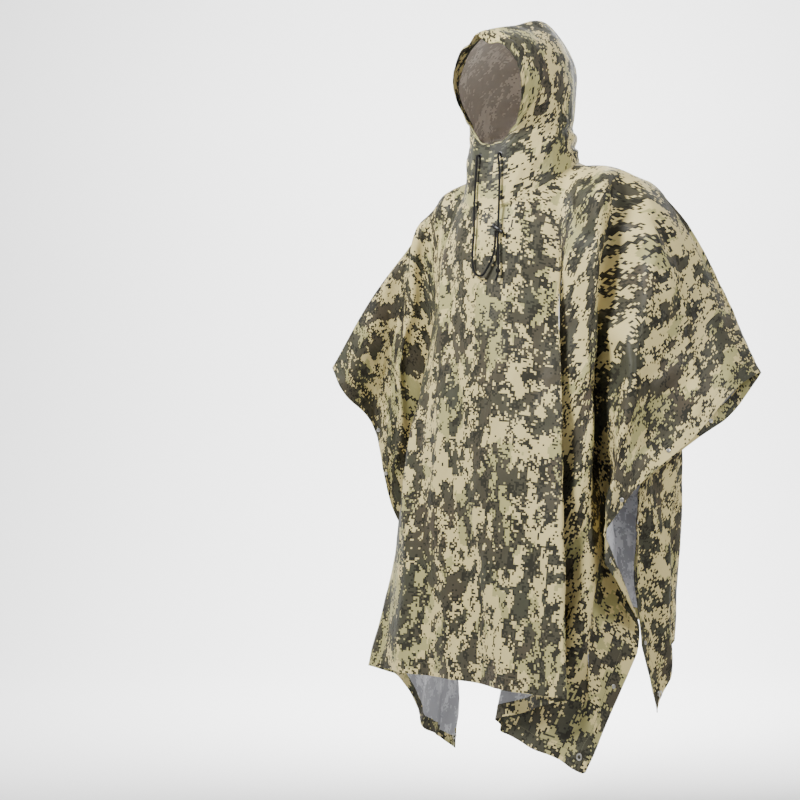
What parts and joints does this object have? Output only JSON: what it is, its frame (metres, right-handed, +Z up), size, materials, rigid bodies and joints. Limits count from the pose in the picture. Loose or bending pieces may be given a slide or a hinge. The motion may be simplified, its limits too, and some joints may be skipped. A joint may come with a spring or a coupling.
{
  "type": "rain poncho",
  "caption": "Hooded rain poncho as worn over raised arms: one hemmed sheet falling in folds, with corner eyelets, side snaps and a hood drawcord with a sliding lock.",
  "frame": {"origin": "between the shoulders, level with the sides of the neck opening, where the wearer holds the garment up", "axes": "+Z up, front faces -Y, the wearer's left is +X"},
  "size_m": [0.908, 0.4635, 1.6227],
  "materials": {
    "printed_cloth": "coated plain-weave cloth, printed outside, pale coating inside",
    "dull_metal": "dull nickel",
    "black_cord": "round braided cord",
    "black_plastic": "satin moulded plastic"
  },
  "bodies": {
    "root": {"front_panel": "printed_cloth", "back_panel": "printed_cloth", "hood_left": "printed_cloth", "hood_right": "printed_cloth", "eyelet_front_left": "dull_metal", "eyelet_front_right": "dull_metal", "eyelet_back_left": "dull_metal", "eyelet_back_right": "dull_metal", "cord_eyelet_left": "dull_metal", "cord_eyelet_right": "dull_metal", "snap_front_left_1": "dull_metal", "snap_front_left_2": "dull_metal", "snap_front_left_3": "dull_metal", "snap_front_left_4": "dull_metal", "snap_front_right_1": "dull_metal", "snap_front_right_2": "dull_metal", "snap_front_right_3": "dull_metal", "snap_front_right_4": "dull_metal", "snap_back_left_1": "dull_metal", "snap_back_left_2": "dull_metal", "snap_back_left_3": "dull_metal", "snap_back_left_4": "dull_metal", "snap_back_right_1": "dull_metal", "snap_back_right_2": "dull_metal", "snap_back_right_3": "dull_metal", "snap_back_right_4": "dull_metal", "drawcord_left": "black_cord", "drawcord_right": "black_cord", "drawcord_tail": "black_cord", "drawcord_end": "black_cord", "cord_knot": "black_cord", "cord_lock": "black_plastic"}
  },
  "joints": []
}
